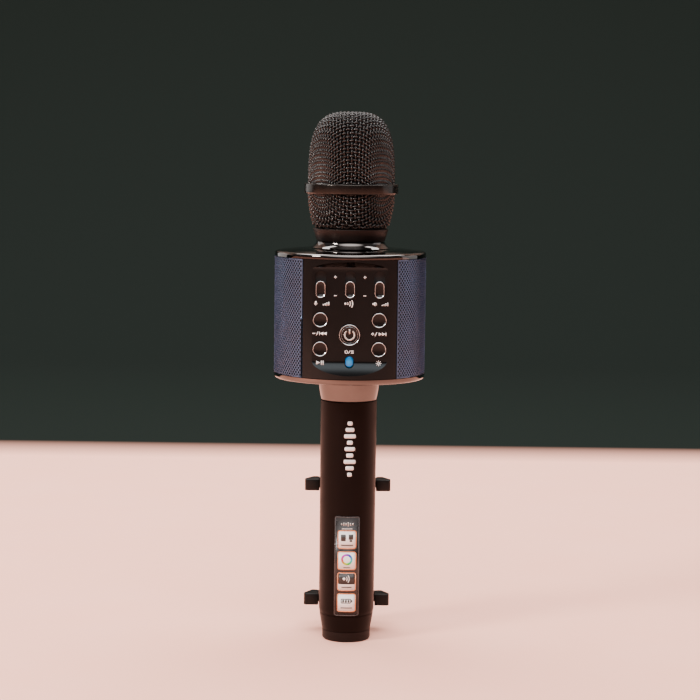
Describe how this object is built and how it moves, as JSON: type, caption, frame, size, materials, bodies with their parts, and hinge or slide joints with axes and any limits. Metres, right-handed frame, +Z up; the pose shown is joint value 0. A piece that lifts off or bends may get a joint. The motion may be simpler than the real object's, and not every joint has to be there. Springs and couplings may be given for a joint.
{
  "type": "karaoke microphone",
  "caption": "Handheld karaoke microphone with a wire ball grille, a squat loudspeaker can with slide controls and buttons, a slim handle and a sprung phone clamp, standing on its foot.",
  "frame": {"origin": "centre of the foot's flat face, which is the lowest face", "axes": "+Z up along the microphone's axis, control panel facing -Y, phone clamp on the +Y side"},
  "size_m": [0.074, 0.074, 0.26],
  "materials": {
    "wire_mesh": "black plated woven wire",
    "satin_band": "satin black",
    "foam": "open-cell foam",
    "matte_plastic": "soft-touch matte",
    "rubber": "matte",
    "mirror_metal": "dark mirror plating",
    "inner_plastic": "moulded",
    "side_grille": "perforated, satin",
    "gloss_panel": "piano gloss",
    "gloss_control": "gloss with a bright bevel",
    "blue_lens": "translucent",
    "plated_steel": "plated",
    "circuit_board": "solder mask",
    "handle_metal": "matte black-brown",
    "battery_cell": "shrink sleeve",
    "printed_label": "printed film",
    "clamp_plastic": "moulded black"
  },
  "bodies": {
    "microphone": {"grille_dome": "wire_mesh", "grille_basket": "wire_mesh", "grille_ring": "satin_band", "foam_windscreen": "foam", "collar": "matte_plastic", "mic_capsule": "plated_steel", "capsule_mount": "rubber", "upper_neck_ring": "mirror_metal", "upper_neck_tube": "inner_plastic", "top_cap": "mirror_metal", "base_cap": "mirror_metal", "chassis": "inner_plastic", "speaker_grille_left": "side_grille", "speaker_grille_right": "side_grille", "front_panel": "gloss_panel", "rear_panel": "gloss_panel", "speaker_driver_left": "plated_steel", "speaker_driver_right": "plated_steel", "speaker_cone_left": "rubber", "speaker_cone_right": "rubber", "main_pcb": "circuit_board", "rear_pcb": "circuit_board", "slide_pot_left": "plated_steel", "slide_pot_centre": "plated_steel", "slide_pot_right": "plated_steel", "switch_upper_left": "inner_plastic", "switch_upper_right": "inner_plastic", "switch_lower_left": "inner_plastic", "switch_lower_right": "inner_plastic", "switch_power": "inner_plastic", "indicator_lens": "blue_lens", "usb_socket": "plated_steel", "card_socket": "plated_steel", "charge_socket": "plated_steel", "aux_socket": "inner_plastic", "lower_neck_ring": "mirror_metal", "lower_neck_tube": "inner_plastic", "handle_tube": "handle_metal", "tail_cone": "handle_metal", "foot_cap": "handle_metal", "battery": "battery_cell", "battery_spring": "plated_steel", "feature_label": "printed_label", "clamp_housing": "clamp_plastic", "clamp_cover": "clamp_plastic", "clamp_spring": "plated_steel"},
    "slider_left": {"slider_knob_left": "gloss_control"},
    "slider_centre": {"slider_knob_centre": "gloss_control"},
    "slider_right": {"slider_knob_right": "gloss_control"},
    "upper_left_button": {"button_upper_left": "gloss_control"},
    "upper_right_button": {"button_upper_right": "gloss_control"},
    "lower_left_button": {"button_lower_left": "gloss_control"},
    "lower_right_button": {"button_lower_right": "gloss_control"},
    "power": {"power_button": "gloss_control"},
    "left_jaw": {"jaw_left": "clamp_plastic", "pad_left_upper": "rubber", "pad_left_lower": "rubber"},
    "right_jaw": {"jaw_right": "clamp_plastic", "pad_right_upper": "rubber", "pad_right_lower": "rubber"}
  },
  "joints": [
    {"name": "slider_left_travel", "type": "slide", "parent": "microphone", "child": "slider_left", "axis": [0, 0, 1], "range_m": [0, 0.004]},
    {"name": "slider_centre_travel", "type": "slide", "parent": "microphone", "child": "slider_centre", "axis": [0, 0, 1], "range_m": [0, 0.004]},
    {"name": "slider_right_travel", "type": "slide", "parent": "microphone", "child": "slider_right", "axis": [0, 0, 1], "range_m": [0, 0.004]},
    {"name": "upper_left_button_press", "type": "slide", "parent": "microphone", "child": "upper_left_button", "axis": [0, 1, 0], "range_m": [0, 0.0006], "stiffness_N_per_m": 600},
    {"name": "upper_right_button_press", "type": "slide", "parent": "microphone", "child": "upper_right_button", "axis": [0, 1, 0], "range_m": [0, 0.0006], "stiffness_N_per_m": 600},
    {"name": "lower_left_button_press", "type": "slide", "parent": "microphone", "child": "lower_left_button", "axis": [0, 1, 0], "range_m": [0, 0.0006], "stiffness_N_per_m": 600},
    {"name": "lower_right_button_press", "type": "slide", "parent": "microphone", "child": "lower_right_button", "axis": [0, 1, 0], "range_m": [0, 0.0006], "stiffness_N_per_m": 600},
    {"name": "power_press", "type": "slide", "parent": "microphone", "child": "power", "axis": [0, 1, 0], "range_m": [0, 0.0006], "stiffness_N_per_m": 600},
    {"name": "left_jaw_slide", "type": "slide", "parent": "microphone", "child": "left_jaw", "axis": [-1, 0, 0], "range_m": [0, 0.018], "stiffness_N_per_m": 150, "springref_m": -0.004},
    {"name": "right_jaw_slide", "type": "slide", "parent": "microphone", "child": "right_jaw", "axis": [1, 0, 0], "range_m": [0, 0.018], "stiffness_N_per_m": 150, "springref_m": -0.004}
  ]
}
